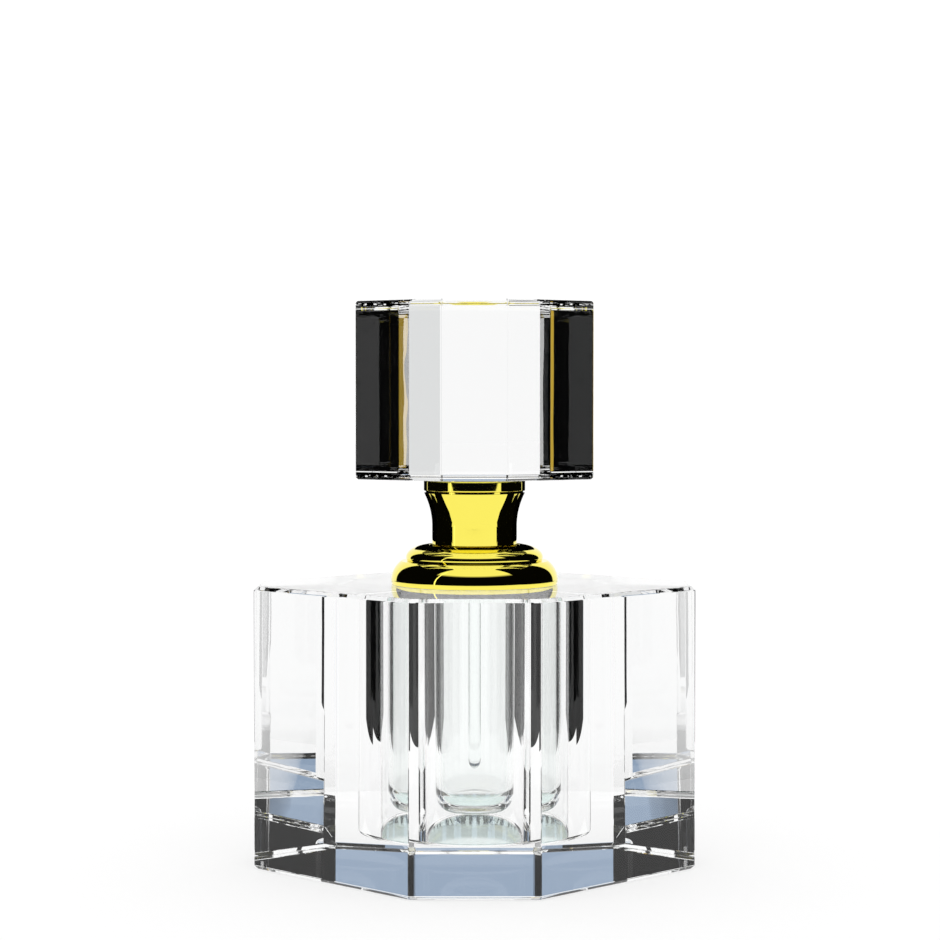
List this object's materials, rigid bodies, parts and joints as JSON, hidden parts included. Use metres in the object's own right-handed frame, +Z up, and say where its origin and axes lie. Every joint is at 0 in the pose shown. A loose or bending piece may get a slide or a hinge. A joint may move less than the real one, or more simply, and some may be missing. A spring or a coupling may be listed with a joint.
{
  "type": "perfume bottle",
  "caption": "Faceted crystal block bottle with an inner glass vial, a stepped gold collar and a lift-off dabber stopper under a crystal finial.",
  "frame": {"origin": "centre of the block's bottom face, on the surface that the bottle stands on", "axes": "+Z up, along the rod and the stopper's lift; -Y is the front; X runs along the long side"},
  "size_m": [0.06, 0.048, 0.0773],
  "materials": {
    "crystal": "polished",
    "finial_crystal": "polished",
    "vial_glass": "polished",
    "rod_glass": "polished",
    "collar_gold": "polished plating",
    "ring_gold": "polished plating",
    "cap_gold": "polished plating",
    "disc_gold": "polished plating",
    "bush_plastic": "natural",
    "insert_plastic": "moulded",
    "plug_plastic": "natural",
    "silicone": "matt"
  },
  "bodies": {
    "bottle": {"crystal_block": "crystal", "glass_vial": "vial_glass", "vial_bush": "bush_plastic", "collar_base": "collar_gold", "collar_ring": "ring_gold"},
    "seal": {"seal_ring": "silicone"},
    "stopper": {"cap_shell": "cap_gold", "cap_top_disc": "disc_gold", "cap_insert": "insert_plastic", "stopper_plug": "plug_plastic", "applicator_rod": "rod_glass", "crystal_finial": "finial_crystal"}
  },
  "joints": [
    {"name": "stopper_lift", "type": "slide", "parent": "bottle", "child": "seal", "axis": [0, 0, 1], "range_m": [0, 0.042]},
    {"name": "stopper_turn", "type": "hinge", "parent": "seal", "child": "stopper", "pos_m": [0, 0, 0.0476], "axis": [0, 0, 1], "continuous": true}
  ]
}
